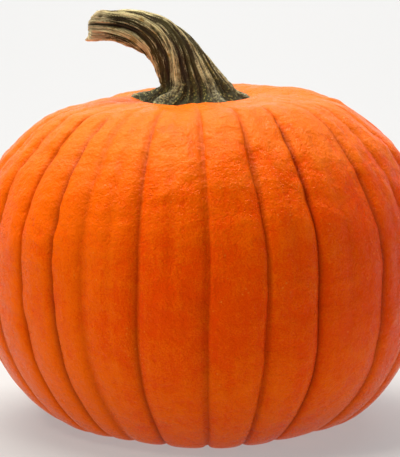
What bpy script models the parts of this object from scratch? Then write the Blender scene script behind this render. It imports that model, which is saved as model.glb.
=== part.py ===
"""A ripe carving pumpkin: one ribbed fruit standing on its lobes, and its bent woody stem.

Metres, +Z up. The origin is under the middle of the fruit, on the surface that it stands on.
The front, seen in the usual view, faces -Y; the stem bends over towards -X.
Azimuths are in degrees from the front, increasing towards +X.
"""

import math

import bmesh
import bpy
from mathutils import Vector

# ---------------------------------------------------------------- the fruit
GIRTH_RADIUS = 0.150  # middle of the fruit to the crest of a lobe, at the widest
GIRTH_HEIGHT = 0.107  # height of the widest ring
CROWN_RISE = 0.1215  # widest ring to the crown, before the hollow is taken out of it
BASE_DROP = 0.1317  # widest ring to the bottom of the full lower curve
CROWN_POWERS = (2.36, 2.18)  # how square the upper curve is, across and up
BASE_POWERS = (2.28, 2.11)  # the same for the lower curve
CAVITY_DEPTH = 0.020  # the hollow that the stem stands in
CAVITY_SPREAD = 0.040
FLOOR_LEVEL = -0.0023  # the underside levels out here, so that the lobes' crests are cut flat
FLOOR_BLEND = 0.006  # how softly the side turns into the underside
BLOSSOM_RISE = 0.0085  # the hollow under the fruit, where the flower was
BLOSSOM_SPREAD = 0.042

# The furrows between the ribs, which are as unequal as on a grown fruit
FURROWS = (
    -49.5, -38.5, -29.5, -16, 1, 15.5, 29, 49, 62, 75, 89, 104, 117,
    132, 146, 160, 175, 190, 204, 218, 232, 246, 259, 271, 285, 298,
)  # fmt: skip
RIB_STEPS = (0.0, 0.11, 0.3, 0.5, 0.7, 0.89)  # where the columns stand across one rib
FURROW_DEPTH = 0.0032
FURROW_SHARPNESS = 2.8  # 2 is a round rib, more is a flatter rib with a narrower furrow
LATITUDES = 24  # steps from the lowest point to the highest

LEAN = 0.040  # the crown's slope, with the +X shoulder higher
CROWN_SHIFT = -0.004  # sideways, of the middle of the crown
BASE_SHIFT = 0.0015  # and of the middle of the underside
NOD = 0.080  # the crown's slope towards the front, round the stem
NOD_DROP = 0.0042  # and how much lower it is there all over

# ----------------------------------------------------------------- the stem
# Stations from the foot, inside the crown, to the cut tip: x, z, the radius over the ridges, and
# how far the section leans over, in degrees, which turns more evenly than the path does
STEM_PATH = (
    (-0.0070, 0.1960, 0.0440, 0.0),
    (-0.0070, 0.2090, 0.0450, 0.0),
    (-0.0068, 0.2135, 0.0435, 0.0),
    (-0.0064, 0.2160, 0.0375, 0.0),
    (-0.0056, 0.2185, 0.0300, 0.5),
    (-0.0050, 0.2208, 0.0254, 2.0),
    (-0.0058, 0.2239, 0.0226, 5.0),
    (-0.0094, 0.2291, 0.0194, 14.0),
    (-0.0132, 0.2352, 0.0177, 24.0),
    (-0.0173, 0.2416, 0.0166, 33.0),
    (-0.0226, 0.2474, 0.0156, 42.0),
    (-0.0290, 0.2529, 0.0146, 53.0),
    (-0.0370, 0.2566, 0.0133, 65.0),
    (-0.0458, 0.2593, 0.0121, 75.0),
    (-0.0550, 0.2605, 0.0107, 82.0),
    (-0.0635, 0.2608, 0.0101, 88.0),
    (-0.0702, 0.2606, 0.0098, 90.0),
    (-0.0738, 0.2604, 0.0084, 91.0),
)
# The ridges at the middle of the stem, in degrees round it from the front towards its upper side
RIDGES = (-80, -8, 53, 106, 162, 218)
VALLEY_DEPTHS = (0.26, 0.12)  # as a share of the radius, at the foot and at the tip
VALLEY_POWER = 0.8
STEPS_PER_VALLEY = 6
FOOT_TWIST = -26.0  # degrees that the ridges turn by, from the middle to the foot
TIP_TWIST = 72.0  # and from the middle to the tip

SEATING_GAP = 0.0003  # between the stem's foot and the skin


def material(name, colour, roughness, metallic=0.0):
    made = bpy.data.materials.new(name)
    made.use_nodes = True
    shader = made.node_tree.nodes["Principled BSDF"]
    shader.inputs["Base Color"].default_value = (*colour, 1.0)
    shader.inputs["Roughness"].default_value = roughness
    shader.inputs["Metallic"].default_value = metallic
    return made


def collection(name):
    made = bpy.data.collections.new(name)
    bpy.context.scene.collection.children.link(made)
    return made


def object_from(bm, name, where):
    bmesh.ops.recalc_face_normals(bm, faces=bm.faces)
    mesh = bpy.data.meshes.new(name)
    bm.to_mesh(mesh)
    bm.free()
    mesh.shade_smooth()
    mesh.set_sharp_from_angle(angle=math.radians(50))
    made = bpy.data.objects.new(name, mesh)
    where.objects.link(made)
    return made


def smooth_step(low, high, value):
    share = min(max((value - low) / (high - low), 0.0), 1.0)
    return share * share * (3.0 - 2.0 * share)


def rib_columns():
    """The azimuth of each column of vertices and how far into a furrow it stands, 0 to 1."""
    columns = []
    following = FURROWS[1:] + (FURROWS[0] + 360.0,)
    for start, end in zip(FURROWS, following):
        for share in RIB_STEPS:
            inward = abs(2.0 * share - 1.0) ** FURROW_SHARPNESS
            columns.append((start + share * (end - start), inward))
    return columns


def meridian(latitude):
    """Radius and height of a lobe's crest at a latitude, -90 under the fruit to 90 in the crown."""
    angle = math.radians(latitude)
    across, up = CROWN_POWERS if latitude >= 0.0 else BASE_POWERS
    radius = GIRTH_RADIUS * max(math.cos(angle), 0.0) ** (2.0 / across)
    if latitude >= 0.0:
        height = GIRTH_HEIGHT + CROWN_RISE * math.sin(angle) ** (2.0 / up)
        height -= CAVITY_DEPTH * math.exp(-((radius / CAVITY_SPREAD) ** 2))
        return radius, height
    side = GIRTH_HEIGHT - BASE_DROP * (-math.sin(angle)) ** (2.0 / up)
    floor = FLOOR_LEVEL + BLOSSOM_RISE * math.exp(-((radius / BLOSSOM_SPREAD) ** 2))
    apart = side - floor
    return radius, floor + 0.5 * (apart + math.hypot(apart, FLOOR_BLEND))


def furrow_share(radius):
    """A furrow is shallow in the crown and under the fruit, and gone at the two poles."""
    return 0.35 * smooth_step(0.015, 0.050, radius) + 0.65 * smooth_step(0.045, 0.115, radius)


def skin_point(azimuth, inward, latitude):
    """A point of the skin: the meridian, pushed in square to itself where a furrow runs."""
    radius, height = meridian(latitude)
    before = meridian(max(latitude - 1.0, -90.0))
    after = meridian(min(latitude + 1.0, 90.0))
    along = Vector((after[0] - before[0], after[1] - before[1])).normalized()
    depth = FURROW_DEPTH * inward * furrow_share(radius)
    radius -= depth * along.y
    height += depth * along.x
    turn = math.radians(azimuth)
    x = radius * math.sin(turn)
    y = -radius * math.cos(turn)
    upper = smooth_step(GIRTH_HEIGHT, 0.22, height)
    lower = smooth_step(GIRTH_HEIGHT, 0.0, height)
    by_stem = upper * (1.0 - smooth_step(0.055, 0.100, radius))
    height += LEAN * x * upper + (NOD * y - NOD_DROP) * by_stem
    x += CROWN_SHIFT * upper + BASE_SHIFT * lower
    return Vector((x, y, max(height, 0.0)))


def build_fruit(where):
    """A UV sphere whose meridians are moved onto the ribs and whose rings follow the profile."""
    columns = rib_columns()
    bm = bmesh.new()
    bmesh.ops.create_uvsphere(bm, u_segments=len(columns), v_segments=LATITUDES, radius=1.0)
    for vertex in bm.verts:
        turn = math.degrees(math.atan2(vertex.co.y, vertex.co.x)) / 360.0
        azimuth, inward = columns[round(turn * len(columns)) % len(columns)]
        latitude = math.degrees(math.asin(min(max(vertex.co.z, -1.0), 1.0)))
        vertex.co = skin_point(azimuth, inward, latitude)
    middle = [
        0.5 * (min(v.co[axis] for v in bm.verts) + max(v.co[axis] for v in bm.verts))
        for axis in (0, 1)
    ]
    bmesh.ops.translate(bm, verts=bm.verts, vec=(-middle[0], -middle[1], 0.0))
    return object_from(bm, "fruit", where)


def ridge_columns():
    """Round the stem at its middle: the angle of each column and how far it is into a valley."""
    columns = []
    following = RIDGES[1:] + (RIDGES[0] + 360.0,)
    for start, end in zip(RIDGES, following):
        for step in range(STEPS_PER_VALLEY):
            share = step / STEPS_PER_VALLEY
            columns.append((start + share * (end - start), math.sin(math.pi * share)))
    return columns


def stem_section(index, columns):
    """The star-shaped outline of the stem at one station."""
    x, z, radius, lean = STEM_PATH[index]
    upper_side = Vector((math.cos(math.radians(lean)), 0.0, math.sin(math.radians(lean))))
    front = Vector((0.0, -1.0, 0.0))
    share = index / (len(STEM_PATH) - 1)
    depth = VALLEY_DEPTHS[0] + (VALLEY_DEPTHS[1] - VALLEY_DEPTHS[0]) * share
    twist = FOOT_TWIST + (TIP_TWIST - FOOT_TWIST) * smooth_step(0.15, 1.0, share)
    outline = []
    for angle, valley in columns:
        turn = math.radians(angle + twist)
        reach = radius * (1.0 - depth * abs(valley) ** VALLEY_POWER)
        side = upper_side * math.sin(turn) + front * math.cos(turn)
        outline.append(Vector((x, 0.0, z)) + side * reach)
    return outline


def build_stem(where):
    """A loft from the buttressed foot to the nearly round tip."""
    columns = ridge_columns()
    bm = bmesh.new()
    rings = []
    for index in range(len(STEM_PATH)):
        rings.append([bm.verts.new(point) for point in stem_section(index, columns)])
    count = len(columns)
    for lower, upper in zip(rings, rings[1:]):
        for i in range(count):
            j = (i + 1) % count
            bm.faces.new((lower[i], lower[j], upper[j], upper[i]))
    for ring in (rings[0], rings[-1]):
        middle = bm.verts.new(sum((v.co for v in ring), Vector()) / count)
        for i in range(count):
            bm.faces.new((ring[i], ring[(i + 1) % count], middle))
    return object_from(bm, "stem", where)


def seat_stem(stem, fruit, where):
    """The foot is cut to the crown's shape, a hair's breadth clear of the skin."""
    bm = bmesh.new()
    bm.from_mesh(fruit.data)
    bm.normal_update()
    for vertex in bm.verts:
        vertex.co += vertex.normal * SEATING_GAP
    cutter = object_from(bm, "crown_cutter", where)
    cutter.hide_render = True
    cutter.display_type = "WIRE"
    cut = stem.modifiers.new("seat", "BOOLEAN")
    cut.operation = "DIFFERENCE"
    cut.solver = "EXACT"
    cut.object = cutter


for existing in list(bpy.data.objects):
    bpy.data.objects.remove(existing)

parts = collection("pumpkin")
cutters = collection("cutters")

pumpkin = build_fruit(parts)
pumpkin.data.materials.append(material("skin", (0.84, 0.20, 0.012), 0.42))

peduncle = build_stem(parts)
peduncle.data.materials.append(material("stem_wood", (0.21, 0.15, 0.075), 0.75))
seat_stem(peduncle, pumpkin, cutters)
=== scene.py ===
import math

import bpy
import numpy as np
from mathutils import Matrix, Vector, noise


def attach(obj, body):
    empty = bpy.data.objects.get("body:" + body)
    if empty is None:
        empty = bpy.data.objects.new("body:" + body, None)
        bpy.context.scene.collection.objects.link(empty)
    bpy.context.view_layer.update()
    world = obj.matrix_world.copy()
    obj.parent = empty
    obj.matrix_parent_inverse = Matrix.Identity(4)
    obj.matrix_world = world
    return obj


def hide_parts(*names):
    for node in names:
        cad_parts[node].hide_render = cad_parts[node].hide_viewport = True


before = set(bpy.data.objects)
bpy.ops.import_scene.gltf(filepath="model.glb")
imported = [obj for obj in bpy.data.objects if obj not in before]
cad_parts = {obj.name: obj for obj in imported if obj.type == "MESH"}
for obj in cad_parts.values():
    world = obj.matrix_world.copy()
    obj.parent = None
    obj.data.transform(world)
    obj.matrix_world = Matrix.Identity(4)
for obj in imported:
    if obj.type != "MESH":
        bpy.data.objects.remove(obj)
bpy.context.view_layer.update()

# ------------------------------------------------------------------------------- the fruit's body
# Thick flesh under a waxy skin, grown as one piece. A meridian is drawn from the blossom end up to
# the crown and turned through one rib after another, with narrow steps on both sides of every
# furrow. Ribs are unequal, as they grow; azimuths are degrees from the front, towards +X.
GIRTH_RADIUS = 0.1502
GIRTH_HEIGHT = 0.107
CROWN_RISE = 0.1215
BASE_DROP = 0.1317
CROWN_POWERS = (2.36, 2.18)
BASE_POWERS = (2.28, 2.11)
HOLLOW_DEPTH = 0.020
HOLLOW_SPREAD = 0.040
FLOOR_LEVEL = -0.0023
FLOOR_BLEND = 0.006
BLOSSOM_RISE = 0.0085
BLOSSOM_SPREAD = 0.042
FURROWS = (
    -49.5, -38.5, -29.5, -16, 1, 15.5, 29, 49, 62, 75, 89, 104, 117,
    132, 146, 160, 175, 190, 204, 218, 232, 246, 259, 271, 285, 298,
)  # fmt: skip
NARROW_STEPS = (0.30, 0.45, 0.75)
WIDE_STEP = 1.15
MERIDIAN_STEPS = 190


def skin_line(latitude):
    """Radius and height of a rib's crest, from -90 under the fruit to 90 in the crown."""
    angle = math.radians(latitude)
    across, up = CROWN_POWERS if latitude >= 0.0 else BASE_POWERS
    radius = GIRTH_RADIUS * max(math.cos(angle), 0.0) ** (2.0 / across)
    if latitude >= 0.0:
        height = GIRTH_HEIGHT + CROWN_RISE * math.sin(angle) ** (2.0 / up)
        return radius, height - HOLLOW_DEPTH * math.exp(-((radius / HOLLOW_SPREAD) ** 2))
    side = GIRTH_HEIGHT - BASE_DROP * (-math.sin(angle)) ** (2.0 / up)
    floor_line = FLOOR_LEVEL + BLOSSOM_RISE * math.exp(-((radius / BLOSSOM_SPREAD) ** 2))
    apart = side - floor_line
    return radius, floor_line + 0.5 * (apart + math.hypot(apart, FLOOR_BLEND))


def evenly_spaced(points, count):
    """The same line, with its points at even distances."""
    points = np.array(points)
    lengths = np.r_[0.0, np.cumsum(np.linalg.norm(np.diff(points, axis=0), axis=1))]
    wanted = np.linspace(0.0, lengths[-1], count)
    return np.array([np.interp(wanted, lengths, column) for column in points.T]).T


meridian = evenly_spaced([skin_line(k / 4.0) for k in range(-360, 361)], MERIDIAN_STEPS + 1)
meridian[0, 0] = meridian[-1, 0] = 0.0
outward = Vector((math.sin(math.radians(FURROWS[0])), -math.cos(math.radians(FURROWS[0])), 0.0))
drawn = [outward * float(radius) + Vector((0.0, 0.0, float(z))) for radius, z in meridian]

bpy.ops.object.select_all(action="DESELECT")
bpy.ops.mesh.primitive_plane_add(size=0.01)
fruit = bpy.context.object
fruit.name = fruit.data.name = "pumpkin_fruit"
bpy.ops.object.mode_set(mode="EDIT")
bpy.ops.mesh.select_all(action="SELECT")
bpy.ops.mesh.merge(type="CENTER")
bpy.ops.transform.translate(value=drawn[0])
for before, after in zip(drawn, drawn[1:]):
    bpy.ops.mesh.extrude_region_move(TRANSFORM_OT_translate={"value": after - before})
bpy.ops.mesh.select_all(action="SELECT")
for start, end in zip(FURROWS, FURROWS[1:] + (FURROWS[0] + 360.0,)):
    middle = end - start - 2.0 * sum(NARROW_STEPS)
    wide = max(round(middle / WIDE_STEP), 1)
    turns = [*NARROW_STEPS, *[middle / wide] * wide, *reversed(NARROW_STEPS)]
    for turn in turns:
        bpy.ops.mesh.spin(
            steps=1,
            angle=math.radians(turn),
            center=(0.0, 0.0, 0.0),
            axis=(0.0, 0.0, 1.0),
            use_auto_merge=False,
        )
bpy.ops.mesh.select_all(action="SELECT")
bpy.ops.mesh.remove_doubles(threshold=0.00002)
bpy.ops.mesh.normals_make_consistent(inside=False)
bpy.ops.object.mode_set(mode="OBJECT")


# ------------------------------------------------------------------------------ the fruit's relief
# The furrows lie over the bundles: a soft trough with a narrow crease in it, deep on the shoulders
# and gone in the crown's hollow. Fainter lines run inside the broad ribs. All of it is weighted
# point by point and pressed in square to the skin.
TROUGH_DEPTH = 0.0015
GROOVE_DEPTH = 0.0010
GROOVE_WIDTH = 0.0028  # metres from the furrow to where the groove is a third as deep
CREASE_DEPTH = 0.0011
CREASE_WIDTH = 0.0010
FAINT_LINES = (-22.5, -8, 22.5, 38, 55, 96.5, 125, 168, 182.5, 211, 239, 252.5)
FAINT_DEPTH = 0.0007
FAINT_WIDTH = 0.0030
CREASE_LINE_AND_SHADE_FADE = 0.0009  # metres over which the crease's darker colour, partly its own line and partly painted shade, fades to a third
TROUGH_PAINTED_SHADE_FADE = 0.0050  # and the trough's painted shade
SWAY = (0.007, 0.11)  # how far the noise moves the skin, and how wide its humps are, in metres
LUMPS = (0.0034, 0.035)
DIMPLES = (0.0023, 0.018)
SMALL_LUMPS = (0.0009, 0.009)
LEAN = 0.040  # the crown's slope, with the +X shoulder higher
CROWN_SHIFT = -0.004  # sideways, of the middle of the crown
BASE_SHIFT = 0.0015  # and of the middle of the underside
NOD = 0.080  # the crown's slope towards the front, round the stem
NOD_DROP = 0.0042  # and how much lower it is there all over


def places(piece):
    found = np.empty(len(piece.data.vertices) * 3)
    piece.data.vertices.foreach_get("co", found)
    return found.reshape(-1, 3)


def smooth_step(low, high, values):
    share = np.clip((values - low) / (high - low), 0.0, 1.0)
    return share * share * (3.0 - 2.0 * share)


def signed(degrees):
    """The same angles, from -180 to 180."""
    return (degrees + 180.0) % 360.0 - 180.0


def keep(piece, name, values):
    """Stores a number, or three, at each point, for the material to read."""
    wide = values.ndim > 1
    kind = "FLOAT_VECTOR" if wide else "FLOAT"
    attribute = piece.data.attributes.new(name, kind, "POINT")
    attribute.data.foreach_set("vector" if wide else "value", values.astype(float).ravel())


def displace(piece, strength, weights=None, direction="NORMAL", texture=None):
    """Moves the points along their normals, or along an axis, by their weights or a texture."""
    bpy.context.view_layer.objects.active = piece
    bpy.ops.object.modifier_add(type="DISPLACE")
    moved = piece.modifiers[-1]
    moved.strength = strength
    moved.direction = direction
    moved.mid_level = 0.5 if texture else 0.0
    if texture:
        moved.texture = texture
        moved.texture_coords = "LOCAL"
    if weights is not None:
        group = piece.vertex_groups.new(name="weights")
        for index in np.flatnonzero(weights > 0.002):
            group.add([int(index)], float(min(weights[index], 1.0)), "REPLACE")
        moved.vertex_group = group.name
    bpy.ops.object.modifier_apply(modifier=moved.name)
    piece.vertex_groups.clear()


def shift(piece, offsets, direction):
    """Moves the points along an axis, each by its own offset, to either side."""
    for side in (1.0, -1.0):
        moved = np.clip(side * offsets, 0.0, None)
        if moved.max() > 0.000001:
            displace(piece, side * float(moved.max()), moved / moved.max(), direction)


def clouds(name, size, depth=1, colour=False):
    texture = bpy.data.textures.new(name, "CLOUDS")
    texture.noise_scale = size
    texture.noise_depth = depth
    texture.cloud_type = "COLOR" if colour else "GRAYSCALE"
    return texture


at = places(fruit)
radius = np.hypot(at[:, 0], at[:, 1])
azimuth = np.degrees(np.arctan2(at[:, 0], -at[:, 1]))
upper = smooth_step(GIRTH_HEIGHT, 0.205, at[:, 2])
edges = np.array(FURROWS + (FURROWS[0] + 360.0,))
wrapped = (azimuth - edges[0]) % 360.0 + edges[0]
rib = np.clip(np.searchsorted(edges, wrapped, side="right") - 1, 0, len(FURROWS) - 1)
share = (wrapped - edges[rib]) / (edges[rib + 1] - edges[rib])
across = 2.0 * share - 1.0
from_furrow = np.radians(np.minimum(wrapped - edges[rib], edges[rib + 1] - wrapped)) * radius
shown = 0.30 * smooth_step(0.020, 0.050, radius) + 0.70 * smooth_step(0.048, 0.112, radius)
starts = np.random.default_rng(5).uniform(0.064, 0.080, len(FURROWS) + 1)
starts[-1] = starts[0]
nearer = np.where(share < 0.5, rib, rib + 1)
drawn_in = smooth_step(starts[nearer], starts[nearer] + 0.020, radius)
faint = np.zeros(len(at))
for number, line in enumerate(FAINT_LINES):
    apart = np.radians(signed(azimuth - line)) * radius
    fade = smooth_step(0.05 + 0.01 * (number % 3), 0.15, at[:, 2])
    faint = np.maximum(faint, np.exp(-((apart / FAINT_WIDTH) ** 2)) * fade * drawn_in)
crease = np.exp(-((from_furrow / CREASE_WIDTH) ** 1.5)) * drawn_in
deepening = smooth_step(starts[nearer], starts[nearer] + 0.055, radius)
groove = np.exp(-((from_furrow / GROOVE_WIDTH) ** 1.2)) * deepening
trough = np.abs(across) ** 3.2 * shown

# The crease, trough and faint marks carry the furrows' painted shade into the skin's colour.
keep(fruit, "crease", np.exp(-from_furrow / CREASE_LINE_AND_SHADE_FADE) * drawn_in)
keep(fruit, "trough", np.exp(-from_furrow / TROUGH_PAINTED_SHADE_FADE) * deepening)
keep(fruit, "faint", faint)
turn = np.radians(azimuth)
rises = np.r_[0.0, np.cumsum(np.linalg.norm(np.diff(meridian, axis=0), axis=1))]
close = np.abs(meridian[None, :, 0] - radius[:, None]) + np.abs(meridian[None, :, 1] - at[:, 2:3])
wrap = np.column_stack((np.sin(turn), -np.cos(turn), rises[close.argmin(axis=1)] / rises[-1]))
keep(fruit, "wrap", wrap)

displace(fruit, -TROUGH_DEPTH, trough)
displace(fruit, -GROOVE_DEPTH, groove)
displace(fruit, -CREASE_DEPTH, crease)
displace(fruit, -FAINT_DEPTH, faint)
slow_sway = clouds("slow sway", SWAY[1], colour=True)
displace(fruit, SWAY[0], texture=slow_sway, direction="RGB_TO_XYZ")
middle = smooth_step(0.02, 0.10, at[:, 2])
shoulders = 0.15 + 0.35 * middle + 0.5 * upper
displace(fruit, LUMPS[0], shoulders, texture=clouds("lumps", LUMPS[1]))
displace(fruit, DIMPLES[0], 0.15 + 0.6 * middle, texture=clouds("dimples", DIMPLES[1], 2))
displace(fruit, SMALL_LUMPS[0], shoulders, texture=clouds("small lumps", SMALL_LUMPS[1], 3))

# The crown leans to one side and nods forward, and the crests are flat where the fruit stands.
high = smooth_step(GIRTH_HEIGHT, 0.22, at[:, 2])
low = smooth_step(GIRTH_HEIGHT, 0.0, at[:, 2])
by_stem = high * (1.0 - smooth_step(0.055, 0.100, radius))
shift(fruit, LEAN * at[:, 0] * high + (NOD * at[:, 1] - NOD_DROP) * by_stem, "Z")
shift(fruit, CROWN_SHIFT * high + BASE_SHIFT * low, "X")
bpy.ops.object.mode_set(mode="EDIT")
bpy.ops.mesh.select_all(action="DESELECT")
bpy.ops.object.mode_set(mode="OBJECT")
fruit.data.vertices.foreach_set("select", places(fruit)[:, 2] < 0.0)
bpy.ops.object.mode_set(mode="EDIT")
bpy.ops.transform.resize(value=(1.0, 1.0, 0.0), center_override=(0.0, 0.0, 0.0))
bpy.ops.object.mode_set(mode="OBJECT")
bpy.ops.object.shade_smooth()


# ------------------------------------------------------------------------------ the fruit's skin
# A waxy rind, deep orange, with fine pores, small pale flecks and low wrinkles that run round the
# crown, and a corky scar underneath. Painted light is mixed into its colour: painted shade in the
# furrows, over a dark line of their own in the creases, a painted sheen that makes the crown and
# shoulders paler, and painted light that makes it lighter low down and on the -X side.
DEEP = (0.83, 0.060, 0.0006, 1.0)
BRIGHT = (0.92, 0.132, 0.0010, 1.0)
# Painted sheen: the paler orange of the crown, for the gloss of the light from above.
PAINTED_CROWN_SHEEN = (0.87, 0.168, 0.0060, 1.0)
FURROW_SHADE = (0.42, 0.28, 0.30, 1.0)
CORK = (0.34, 0.21, 0.10, 1.0)
FLECK = (0.95, 0.30, 0.04, 1.0)


class Wire:
    """The output of a node. Plain sums on it add Math nodes to its material."""

    def __init__(self, socket):
        self.socket = socket

    @property
    def tree(self):
        return self.socket.node.id_data

    @staticmethod
    def node(tree, kind, settings=(), inputs=(), output=0):
        """Any node: its settings first, then its sockets, as values or as links."""
        made = tree.nodes.new(kind)
        for name, value in dict(settings).items():
            setattr(made, name, value)
        for name, value in dict(inputs).items():
            if isinstance(value, Wire):
                tree.links.new(value.socket, made.inputs[name])
            else:
                made.inputs[name].default_value = value
        return Wire(made.outputs[output])

    def sum(self, operation, first, second):
        inputs = {0: first, 1: second}
        return Wire.node(self.tree, "ShaderNodeMath", {"operation": operation}, inputs)

    def __add__(self, other):
        return self.sum("ADD", self, other)

    __radd__ = __add__

    def __mul__(self, other):
        return self.sum("MULTIPLY", self, other)

    __rmul__ = __mul__

    def __sub__(self, other):
        return self.sum("SUBTRACT", self, other)

    def __rsub__(self, other):
        return self.sum("SUBTRACT", other, self)

    def __pow__(self, other):
        return self.sum("POWER", self, other)


def new_material(name, **constants):
    """A Principled material, with what is the same all over set on its own sockets."""
    made = bpy.data.materials.new(name)
    made.use_nodes = True
    shader = made.node_tree.nodes["Principled BSDF"]
    for socket, value in constants.items():
        shader.inputs[socket.replace("_", " ")].default_value = value
    return made, made.node_tree, shader


def read(tree, name, output="Fac"):
    return Wire.node(tree, "ShaderNodeAttribute", {"attribute_name": name}, output=output)


def scaled(tree, vector, scale):
    return Wire.node(tree, "ShaderNodeMapping", inputs={"Vector": vector, "Scale": scale})


def grain(tree, vector, scale, detail=2.0, roughness=0.5, distortion=0.0):
    inputs = {
        "Vector": vector,
        "Scale": scale,
        "Detail": detail,
        "Roughness": roughness,
        "Distortion": distortion,
    }
    return Wire.node(tree, "ShaderNodeTexNoise", inputs=inputs)


def between(value, low, high):
    """0 below low, 1 above high, and smooth from one to the other."""
    settings = {"interpolation_type": "SMOOTHSTEP"}
    inputs = {"Value": value, "From Min": low, "From Max": high}
    return Wire.node(value.tree, "ShaderNodeMapRange", settings, inputs)


def mix(factor, first, second, blend="MIX"):
    tree = factor.tree
    settings = {"data_type": "RGBA", "blend_type": blend}
    return Wire.node(tree, "ShaderNodeMix", settings, {0: factor, 6: first, 7: second}, output=2)


def relief(tree, height, distance, strength=1.0, under=None):
    inputs = {"Height": height, "Distance": distance, "Strength": strength}
    if under:
        inputs["Normal"] = under
    return Wire.node(tree, "ShaderNodeBump", inputs=inputs)


def feed(shader, name, wire):
    wire.tree.links.new(wire.socket, shader.inputs[name])


skin, tree, shader = new_material("skin", IOR=1.33, Specular_IOR_Level=0.19)
shader.inputs["Specular Tint"].default_value = (1.0, 0.45, 0.03, 1.0)
own = Wire.node(tree, "ShaderNodeTexCoord", output="Object")
wrapped_round = read(tree, "wrap", "Vector")
crease_line_and_shade = read(tree, "crease")
trough_painted_shade = read(tree, "trough")
faint_painted_shade = read(tree, "faint")
sideways = Wire.node(tree, "ShaderNodeSeparateXYZ", inputs={"Vector": own}, output="X")
backwards = Wire.node(tree, "ShaderNodeSeparateXYZ", inputs={"Vector": own}, output="Y")
height = Wire.node(tree, "ShaderNodeSeparateXYZ", inputs={"Vector": own}, output="Z")

wide_patches = grain(tree, own, 9.0, 3.0, 0.55)
mottling = grain(tree, own, 85.0, 5.0, 0.7)
streaks = grain(tree, scaled(tree, wrapped_round, (26.0, 26.0, 2.2)), 1.0, 3.0, 0.6)
pores = grain(tree, own, 620.0, 2.0, 0.55)
grit = grain(tree, own, 1100.0, 2.0, 0.6)
# Painted light: higher up, low down and on the -X side the orange is mixed towards BRIGHT, for the
# sheen from above and the light from below and from the left; the patches, streaks, mottling and
# grit are the rind's own.
painted_light_and_patches = 0.50 * between(height, 0.09, 0.20) + 0.45 * (1.0 - between(height, 0.02, 0.10))
painted_light_and_patches = painted_light_and_patches + 0.55 * (1.0 - between(sideways, -0.11, 0.02))
painted_light_and_patches = painted_light_and_patches + 0.9 * (wide_patches - 0.5) + 0.7 * (streaks - 0.5)
tone_and_painted_light = between(painted_light_and_patches + 1.5 * (mottling - 0.5) + 1.7 * (grit - 0.5), -0.15, 0.85)
colour = mix(tone_and_painted_light, DEEP, BRIGHT)
blotches = grain(tree, own, 38.0, 3.0, 0.6)
# Painted sheen: a ragged band over the crown is mixed towards the paler crown colour, for the
# gloss of the light from above; the furrows' painted shade is a little weaker there.
ragged = 0.045 * (mottling - 0.5) + 0.030 * (streaks - 0.5) + 0.075 * (blotches - 0.5)
painted_sheen_band = between(height + ragged, 0.165, 0.200)
colour = mix(0.75 * painted_sheen_band, colour, PAINTED_CROWN_SHEEN)
flecks = Wire.node(
    tree,
    "ShaderNodeTexVoronoi",
    {"feature": "F1"},
    {"Vector": own, "Scale": 230.0, "Randomness": 1.0},
    output="Distance",
)
fleck_room = between(grain(tree, own, 34.0, 2.0), 0.50, 0.66)
colour = mix((1.0 - between(flecks, 0.07, 0.20)) * fleck_room * 0.42, colour, FLECK)
# Painted shade: the troughs, the creases and the faint lines are multiplied darker and redder,
# where shade falls in them; in the creases this is partly their own dark line.
furrow_line_and_painted_shade = 0.14 * trough_painted_shade + 0.85 * crease_line_and_shade + 0.14 * faint_painted_shade
colour = mix(furrow_line_and_painted_shade * (1.0 - 0.10 * painted_sheen_band), colour, FURROW_SHADE, "MULTIPLY")
from_axis = (sideways * sideways + backwards * backwards) ** 0.5
near_axis = 1.0 - between(from_axis + 0.004 * (mottling - 0.5), 0.0070, 0.0095)
underneath = 1.0 - between(height, 0.02, 0.03)
colour = mix(near_axis * underneath, colour, CORK)
feed(shader, "Base Color", colour)
shine = 0.28 + 0.40 * (mottling - 0.5) + 0.45 * (blotches - 0.5) + 0.12 * crease_line_and_shade
feed(shader, "Roughness", shine)

wrinkle_room = between(height, 0.165, 0.21)
wrinkles = grain(tree, scaled(tree, wrapped_round, (11.0, 11.0, 95.0)), 1.0, 2.0, 0.6, 0.6)
bumps = relief(tree, pores + 0.6 * grit, 0.0010, 0.5)
bumps = relief(tree, mottling, 0.0046, 0.55, bumps)
bumps = relief(tree, wrinkles * wrinkle_room, 0.0012, 0.4, bumps)
feed(shader, "Normal", bumps)

fruit.data.materials.append(skin)
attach(fruit, "root")
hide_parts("fruit")


# ----------------------------------------------------------------------------------- the stem
# The stalk, dried to wood. It stands in the crown's hollow on a foot of spread buttresses, which
# run on up it as ridges and turn round it as it bends over; its tip was cut off. It is modelled
# straight, a turned outline with its ridges and furrows pressed in, and then bent along its route.
STEM_ROUTE = (  # x and z of the middle, the radius over the ridges, and the ring's tilt
    (-0.0070, 0.1985, 0.0450, 0.0),
    (-0.0070, 0.2090, 0.0455, 0.0),
    (-0.0068, 0.2130, 0.0440, 0.0),
    (-0.0066, 0.2150, 0.0410, 0.0),
    (-0.0062, 0.2168, 0.0355, 0.0),
    (-0.0056, 0.2185, 0.0300, 0.5),
    (-0.0050, 0.2205, 0.0258, 2.0),
    (-0.0058, 0.2239, 0.0226, 5.0),
    (-0.0094, 0.2291, 0.0194, 14.0),
    (-0.0132, 0.2352, 0.0177, 24.0),
    (-0.0173, 0.2416, 0.0166, 33.0),
    (-0.0226, 0.2474, 0.0156, 42.0),
    (-0.0290, 0.2529, 0.0146, 53.0),
    (-0.0370, 0.2566, 0.0133, 65.0),
    (-0.0458, 0.2593, 0.0121, 75.0),
    (-0.0550, 0.2605, 0.0105, 82.0),
    (-0.0635, 0.2608, 0.0099, 88.0),
    (-0.0702, 0.2606, 0.0096, 90.0),
    (-0.0733, 0.2604, 0.0094, 91.0),
)
RING_STEP = 0.00052
COLUMNS = 236
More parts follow.
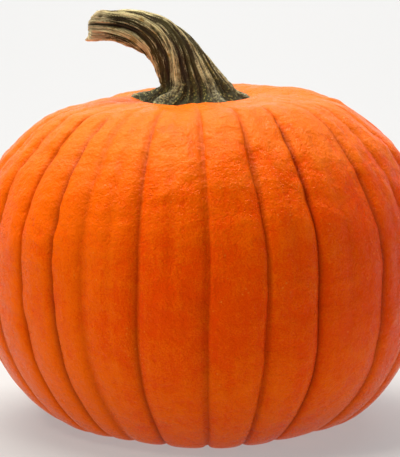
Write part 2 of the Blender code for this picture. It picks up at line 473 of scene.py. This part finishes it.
# The ridges at the middle of the stem, in degrees round it from the front to its upper side
RIDGES = (-80, -8, 53, 106, 162, 218)
STRANDS = (3, 4, 3, 3, 3, 4)  # finer ridges within the valley after each
FOOT_TWIST, TIP_TWIST = -26.0, 72.0
FOOT_VALLEY, MIDDLE_VALLEY = 0.34, 0.150  # how deep the valleys are, as shares of the radius
STRAND_HEIGHT = 0.0016
FIBRE_HEIGHT = 0.0012
THREAD_HEIGHT = 0.00075
HAIR_HEIGHT = 0.00030
CRACK_DEPTH = 0.0013
LUMP_HEIGHT = 0.0011
WART_HEIGHT = 0.0009
MOST_PUSHED = 0.015  # no point is pushed in or out further than this
RIM_WARTS, END_WARTS = 0.0008, 0.0005  # outwards on the rim, and along on the end
MIDDLE_GIRTH = 0.017  # the radius at the middle, which scales the pattern along the stem
SPLIT_ANGLE, SPLIT_WIDTH, SPLIT_DEPTH = -62.0, 6.0, 0.0030
END_CORNER = 0.0024
END_CROWN = 0.0012
CAP_STEPS = 18
LIP_ANGLE, LIP_WIDTH, LIP_REACH = -82.0, 30.0, 0.0050
KNOB_ROUNDING = 0.0026
HOLE_ANGLE, HOLE_BACK, HOLE_WIDTH, HOLE_DEPTH = 47.0, 0.0068, 0.0012, 0.0020
# How far the hole's painted shade reaches.
HOLE_PAINTED_SHADE_WIDTH = 0.0016


def smooth_line(points, steps=24):
    """A smooth line through the points, in short steps."""
    points = np.array(points)
    ends = np.vstack((2 * points[0] - points[1], points, 2 * points[-1] - points[-2]))
    fine = []
    for a, b, c, d in zip(ends, ends[1:], ends[2:], ends[3:]):
        for t in np.linspace(0.0, 1.0, steps, endpoint=False):
            square = 2 * a - 5 * b + 4 * c - d
            cube = 3 * b - a - 3 * c + d
            fine.append(0.5 * (2 * b + (c - a) * t + square * t**2 + cube * t**3))
    return np.array(fine + [points[-1]])


stalk_route = smooth_line(STEM_ROUTE)
stalk_steps = np.linalg.norm(np.diff(stalk_route[:, :2], axis=0), axis=1)
stalk_rises = np.r_[0.0, np.cumsum(stalk_steps)]
stalk_length = float(stalk_rises[-1])
rings = round(stalk_length / RING_STEP)
ring_rises = np.linspace(0.0, stalk_length, rings + 1)
girths = np.interp(ring_rises, stalk_rises, stalk_route[:, 2])
outline = [(0.0, 0.0), (0.02, 0.0)]
for rise, girth in zip(ring_rises, girths):
    inside = max(END_CORNER - (stalk_length - rise), 0.0)
    outline.append((girth - END_CORNER + math.sqrt(END_CORNER**2 - inside**2), rise))
for k in range(1, CAP_STEPS + 1):
    lift = END_CROWN * math.sin(math.pi * k / CAP_STEPS / 2.0)
    outline.append(((girths[-1] - END_CORNER) * (1.0 - k / CAP_STEPS), stalk_length + lift))

bpy.ops.object.select_all(action="DESELECT")
bpy.ops.mesh.primitive_plane_add(size=0.01)
stem = bpy.context.object
stem.name = stem.data.name = "pumpkin_stem"
bpy.ops.object.mode_set(mode="EDIT")
bpy.ops.mesh.select_all(action="SELECT")
bpy.ops.mesh.merge(type="CENTER")
drawn = [Vector((float(r), 0.0, float(z))) for r, z in outline]
for before, after in zip(drawn, drawn[1:]):
    bpy.ops.mesh.extrude_region_move(TRANSFORM_OT_translate={"value": after - before})
bpy.ops.mesh.select_all(action="SELECT")
bpy.ops.mesh.spin(
    steps=COLUMNS,
    angle=2.0 * math.pi,
    center=(0.0, 0.0, 0.0),
    axis=(0.0, 0.0, 1.0),
    use_auto_merge=False,
)
bpy.ops.mesh.select_all(action="SELECT")
bpy.ops.mesh.remove_doubles(threshold=0.000005)
bpy.ops.mesh.normals_make_consistent(inside=False)
bpy.ops.object.mode_set(mode="OBJECT")

at = places(stem)
along = np.clip(at[:, 2] / stalk_length, 0.0, 1.0)
girth = np.interp(along, np.linspace(0, 1, rings + 1), girths)
foot = 1.0 - smooth_step(0.10, 0.32, along)
tip = smooth_step(0.88, 0.97, along)
twist = FOOT_TWIST + (TIP_TWIST - FOOT_TWIST) * smooth_step(0.12, 1.0, along)
facing = (np.degrees(np.arctan2(at[:, 1], at[:, 0])) + 90.0) % 360.0 - 180.0  # 0 is the front
angle = facing - twist
turn = np.radians(angle)


def woody(round_scale, along_scale, seed, values=None):
    """Noise drawn out along the stalk, -1 to 1, without a seam round it."""
    points = np.column_stack(
        (np.cos(turn) * round_scale, np.sin(turn) * round_scale, along * along_scale + seed)
    )
    return np.array([noise.noise(Vector(p)) for p in points])


wandering = angle + 7.0 * woody(1.3, 4.0, 11.0) + 2.5 * woody(4.0, 12.0, 31.0)
edges = np.array(RIDGES + (RIDGES[0] + 360.0,), float)
wrapped = (wandering - edges[0]) % 360.0 + edges[0]
sector = np.clip(np.searchsorted(edges, wrapped, side="right") - 1, 0, len(RIDGES) - 1)
share = (wrapped - edges[sector]) / (edges[sector + 1] - edges[sector])
valley = np.sin(np.pi * share) ** (0.80 + 1.2 * tip)
depth = (FOOT_VALLEY * foot + MIDDLE_VALLEY * (1.0 - foot)) * (1.0 - 0.35 * tip)
strands = np.array(STRANDS)[sector]
fine_ridges = np.abs(np.sin(np.pi * share * strands)) ** 1.3 * valley
fibres = woody(9.0, 3.0, 3.0)
threads = woody(24.0, 8.0, 7.0)
hairs = woody(48.0, 20.0, 41.0)
cracks = np.exp(-((woody(6.5, 1.8, 23.0) / 0.060) ** 2)) * (1.0 - 0.6 * foot)
warts = np.array([noise.noise(Vector(p) * 480.0) for p in at])
lumps = np.array([noise.noise(Vector(p) * 140.0) for p in at])
from_split = signed(wandering - SPLIT_ANGLE) / SPLIT_WIDTH
split = np.exp(-(from_split**2)) * smooth_step(0.60, 0.90, along)
raised = 1.0 - valley * (0.80 + 0.35 * np.abs(fibres)) + 0.45 * fine_ridges

pushed = -girth * depth * valley
pushed += STRAND_HEIGHT * fine_ridges * (1.0 - 0.8 * tip) * (0.8 + 0.5 * foot)
pushed += FIBRE_HEIGHT * fibres + THREAD_HEIGHT * threads + HAIR_HEIGHT * hairs
pushed -= CRACK_DEPTH * cracks + SPLIT_DEPTH * split
pushed += LUMP_HEIGHT * lumps * (0.5 + 0.8 * foot) + WART_HEIGHT * warts * foot
rim = at[:, 2] > stalk_length - 0.0001
inward = np.clip(1.0 - np.hypot(at[:, 0], at[:, 1]) / girths[-1], 0.0, 1.0)
at_end = at[:, 2] > stalk_length - END_CORNER
pushed *= np.where(at_end, np.clip(1.3 - 3.2 * inward, 0.0, 1.0), 1.0)
pushed += np.where(rim, RIM_WARTS * warts, 0.0)

# The cut end: a rounded upper knob, a lower lip that stands out, and a small hole in the side.
reach = np.hypot(at[:, 0], at[:, 1]) / girths[-1]
near_end = smooth_step(0.955, 1.0, along)
lip = np.exp(-((signed(facing - LIP_ANGLE) / LIP_WIDTH) ** 2)) * reach**3
knob = smooth_step(15.0, 80.0, facing) * (1.0 - smooth_step(125.0, 175.0, facing))
drawn_out = LIP_REACH * lip - KNOB_ROUNDING * knob * reach**2 + END_WARTS * warts
drawn_out *= near_end
round_to_hole = np.radians(facing - HOLE_ANGLE) * girth
from_hole = np.hypot(round_to_hole, stalk_length - HOLE_BACK - at[:, 2])
pushed -= HOLE_DEPTH * np.exp(-((from_hole / HOLE_WIDTH) ** 2)) * (reach > 0.9)

keep(stem, "hole", np.exp(-((from_hole / HOLE_PAINTED_SHADE_WIDTH) ** 2)) * (reach > 0.9))
keep(stem, "raised", raised)
keep(stem, "crack_painted_shade", np.clip(cracks + split, 0.0, 1.0))
keep(stem, "fibre", 0.5 + 0.5 * fibres)
keep(stem, "thread", 0.5 + 0.5 * threads)
keep(stem, "along", along)
stalk = np.column_stack((np.cos(turn), np.sin(turn), along * stalk_length / MIDDLE_GIRTH))
keep(stem, "stalk", stalk)

displace(stem, MOST_PUSHED, np.clip(pushed, 0.0, None) / MOST_PUSHED)
displace(stem, -MOST_PUSHED, np.clip(-pushed, 0.0, None) / MOST_PUSHED)
shift(stem, drawn_out, "Z")

# It is bent along a guide that turns as evenly as the rings do, and each ring is then moved from
# the guide onto the route.
tilts = np.radians(stalk_route[:, 3])
middles = 0.5 * (tilts[1:] + tilts[:-1])
ways = np.column_stack((-np.sin(middles), np.cos(middles))) * stalk_steps[:, None]
guide_line = stalk_route[0, :2] + np.vstack(((0.0, 0.0), np.cumsum(ways, axis=0)))
curve = bpy.data.curves.new("stalk route", "CURVE")
curve.dimensions = "3D"
line = curve.splines.new("POLY")
line.points.add(len(guide_line) - 1)
for point, (x, z) in zip(line.points, guide_line):
    point.co = (x, 0.0, z, 1.0)
guide = bpy.data.objects.new("stalk_route", curve)
bpy.context.collection.objects.link(guide)
bpy.context.view_layer.objects.active = stem
bpy.ops.object.modifier_add(type="CURVE")
bend = stem.modifiers[-1]
bend.object = guide
bend.deform_axis = "POS_Z"
bpy.ops.object.modifier_apply(modifier=bend.name)
for column, direction in enumerate("XZ"):
    apart = stalk_route[:, column] - guide_line[:, column]
    shift(stem, np.interp(along * stalk_length, stalk_rises, apart), direction)
bpy.data.objects.remove(guide)
bpy.ops.object.select_all(action="DESELECT")
stem.select_set(True)
bpy.ops.object.shade_smooth()

STRAW = (1.0, 0.86, 0.46, 1.0)
OCHRE = (0.56, 0.36, 0.09, 1.0)
OLIVE = (0.100, 0.085, 0.022, 1.0)
UMBER = (0.048, 0.032, 0.015, 1.0)
PURPLE_BROWN = (0.040, 0.019, 0.011, 1.0)
FOOT_GREEN = (0.030, 0.034, 0.009, 1.0)
LICHEN = (0.46, 0.40, 0.11, 1.0)
SILVER = (0.60, 0.56, 0.38, 1.0)
CUT_WOOD = (1.0, 0.82, 0.50, 1.0)

bark, tree, shader = new_material("stem_wood", Roughness=0.78, Specular_IOR_Level=0.22)
own = Wire.node(tree, "ShaderNodeTexCoord", output="Object")
stalk = read(tree, "stalk", "Vector")
pale_ridges_shaded_valleys = read(tree, "raised")
crack_painted_shade = read(tree, "crack_painted_shade")
fibre = read(tree, "fibre")
thread = read(tree, "thread")
way = read(tree, "along")
fine_fibres = grain(tree, scaled(tree, stalk, (20.0, 20.0, 1.5)), 1.0, 3.0, 0.6)
streaks = grain(tree, scaled(tree, stalk, (3.2, 3.2, 0.5)), 1.0, 2.0, 0.5)
speckle = grain(tree, own, 620.0, 3.0, 0.7)
patches = grain(tree, own, 110.0, 3.0, 0.6)
dark = mix(between(streaks, 0.40, 0.60), OLIVE, UMBER)
pale = mix(between(patches, 0.52, 0.68), STRAW, OCHRE)
# Painted shade: the valleys are darker than the ridges, partly the stalk's own two-tone and partly
# painted shade, and the dark threads gather in the valleys too.
lightness_and_valley_shade = pale_ridges_shaded_valleys + 1.7 * (fine_fibres - 0.5) + 0.6 * (fibre - 0.5) + 0.35 * (way - 0.40)
lightness_and_valley_shade = lightness_and_valley_shade + 0.5 * (speckle - 0.5)
colour = mix(between(lightness_and_valley_shade, 0.54, 1.00), dark, pale)
low_down = 1.0 - between(way, 0.16, 0.36)
foot_light = between(pale_ridges_shaded_valleys + 0.9 * (speckle - 0.5), 0.76, 1.20)
foot_colour = mix(foot_light, FOOT_GREEN, SILVER)
foot_colour = mix(between(speckle, 0.55, 0.61) * 0.7, foot_colour, LICHEN)
colour = mix(low_down, colour, foot_colour)
end = between(way + 0.05 * (streaks - 0.5), 0.86, 0.96)
end_light = between(pale_ridges_shaded_valleys + 0.8 * (fine_fibres - 0.5), 0.05, 0.45)
colour = mix(end * 0.9, colour, mix(end_light, OCHRE, CUT_WOOD))
threading = between(thread + 0.7 * (fine_fibres - 0.5), 0.30, 0.72)
colour = mix((1.0 - threading) * (0.75 - 0.55 * pale_ridges_shaded_valleys), colour, PURPLE_BROWN)
# Painted shade: the cracks, the split and the hole are darkened towards PURPLE_BROWN, for the
# shade inside them.
colour = mix(crack_painted_shade * 0.85, colour, PURPLE_BROWN)
colour = mix(read(tree, "hole") * 0.9, colour, PURPLE_BROWN)
feed(shader, "Base Color", colour)
bumps = relief(tree, fine_fibres, 0.0030, 1.0)
bumps = relief(tree, speckle, 0.0012, 0.8, bumps)
feed(shader, "Normal", bumps)
stem.data.materials.append(bark)

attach(stem, "root")
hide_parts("stem")


# -------------------------------------------------------------------------- the floor and lights
# A sweep of pale paper, which lies flat and turns up into a wall behind the pumpkin. It glows a
# little, and soft boxes light it from above, from both sides, from low in front and at the wall.
SWEEP_WIDTH = 7.0
SWEEP_FRONT = -2.6
SWEEP_BACK = 2.3
SWEEP_HEIGHT = 3.0
SWEEP_BEND = 1.1
PAPER = (0.28, 0.28, 0.28, 1.0)
PAPER_GLOW = 0.34
WHITE = (1.0, 1.0, 1.0)
WARM = (1.0, 0.94, 0.82)
SURROUND_LIGHT, SURROUND_SEEN = 0.006, 0.88
bpy.ops.object.select_all(action="DESELECT")
bpy.ops.mesh.primitive_plane_add(size=1.0, location=(0.0, 0.5 * (SWEEP_FRONT + SWEEP_BACK), 0.0))
sweep = bpy.context.object
sweep.name = sweep.data.name = "floor"
bpy.ops.transform.resize(value=(SWEEP_WIDTH, SWEEP_BACK - SWEEP_FRONT, 1.0))
bpy.ops.object.transform_apply(location=True, rotation=True, scale=True)
bpy.ops.object.mode_set(mode="EDIT")
bpy.ops.mesh.select_mode(type="EDGE")
bpy.ops.mesh.select_all(action="DESELECT")
bpy.ops.object.mode_set(mode="OBJECT")
for edge in sweep.data.edges:
    edge.select = all(sweep.data.vertices[v].co.y > SWEEP_BACK - 0.01 for v in edge.vertices)
bpy.ops.object.mode_set(mode="EDIT")
bpy.ops.mesh.extrude_region_move(TRANSFORM_OT_translate={"value": (0.0, 0.0, SWEEP_HEIGHT)})
bpy.ops.mesh.select_mode(type="VERT")
bpy.ops.object.mode_set(mode="OBJECT")
bpy.ops.object.modifier_add(type="BEVEL")
sweep.modifiers[-1].width = SWEEP_BEND
sweep.modifiers[-1].segments = 24
bpy.ops.object.modifier_apply(modifier=sweep.modifiers[-1].name)
bpy.ops.object.shade_smooth()
paper, tree, shader = new_material("pale paper", Roughness=0.9, Specular_IOR_Level=0.1)
shader.inputs["Base Color"].default_value = PAPER
shader.inputs["Emission Color"].default_value = (*WHITE, 1.0)
shader.inputs["Emission Strength"].default_value = PAPER_GLOW
sweep.data.materials.append(paper)


def soft_box(name, place, aim, size, power, tint=WARM):
    lamp = bpy.data.lights.new(name, "AREA")
    lamp.shape = "RECTANGLE"
    lamp.size, lamp.size_y = size
    lamp.energy = power
    lamp.color = tint
    holder = bpy.data.objects.new(name, lamp)
    bpy.context.collection.objects.link(holder)
    holder.location = place
    holder.rotation_euler = (Vector(aim) - Vector(place)).to_track_quat("-Z", "Y").to_euler()


soft_box("overhead", (-0.22, 0.14, 1.35), (0.0, 0.02, 0.12), (1.1, 0.9), 22.0)
soft_box("key", (-0.77, -0.56, 1.12), (0.0, 0.0, 0.14), (0.30, 0.30), 5.8)
soft_box("left", (-1.35, -0.50, 0.40), (0.0, 0.0, 0.10), (0.5, 1.0), 2.4)
soft_box("right", (1.35, -0.05, 0.35), (0.0, 0.0, 0.10), (0.4, 1.0), 4.4)
soft_box("low front", (-0.1, -1.9, 0.08), (0.0, 0.0, 0.02), (1.8, 0.30), 9.5)
soft_box("backdrop", (0.0, 0.75, 1.9), (0.0, 2.3, 0.35), (3.0, 0.5), 84.0, WHITE)

# The surround looks white and hardly lights anything.
world = bpy.data.worlds.new("studio")
bpy.context.scene.world = world
world.use_nodes = True
surround = world.node_tree.nodes["Background"]
surround.inputs["Color"].default_value = (*WHITE, 1.0)
seen = Wire.node(world.node_tree, "ShaderNodeLightPath", output="Is Camera Ray")
feed(surround, "Strength", SURROUND_LIGHT + SURROUND_SEEN * seen)

# ------------------------------------------------------------------------------------ the camera
# It stands a little higher than the top of the stem, far enough away for a long lens, and looks at
# the middle of the fruit and its stem.
DISTANCE = 1.3
ELEVATION = math.radians(7.3)
AIM = Vector((-0.0015, 0.0009, 0.1268))
FOCAL_LENGTH = 154.2
camera = bpy.data.cameras.new("camera")
camera.lens = FOCAL_LENGTH
eye = bpy.data.objects.new("camera", camera)
bpy.context.collection.objects.link(eye)
toward = Vector((0.0, -math.cos(ELEVATION), math.sin(ELEVATION)))
eye.location = AIM + toward * DISTANCE
eye.rotation_euler = (-toward).to_track_quat("-Z", "Y").to_euler()
bpy.context.scene.camera = eye
bpy.context.scene.view_settings.view_transform = "Standard"
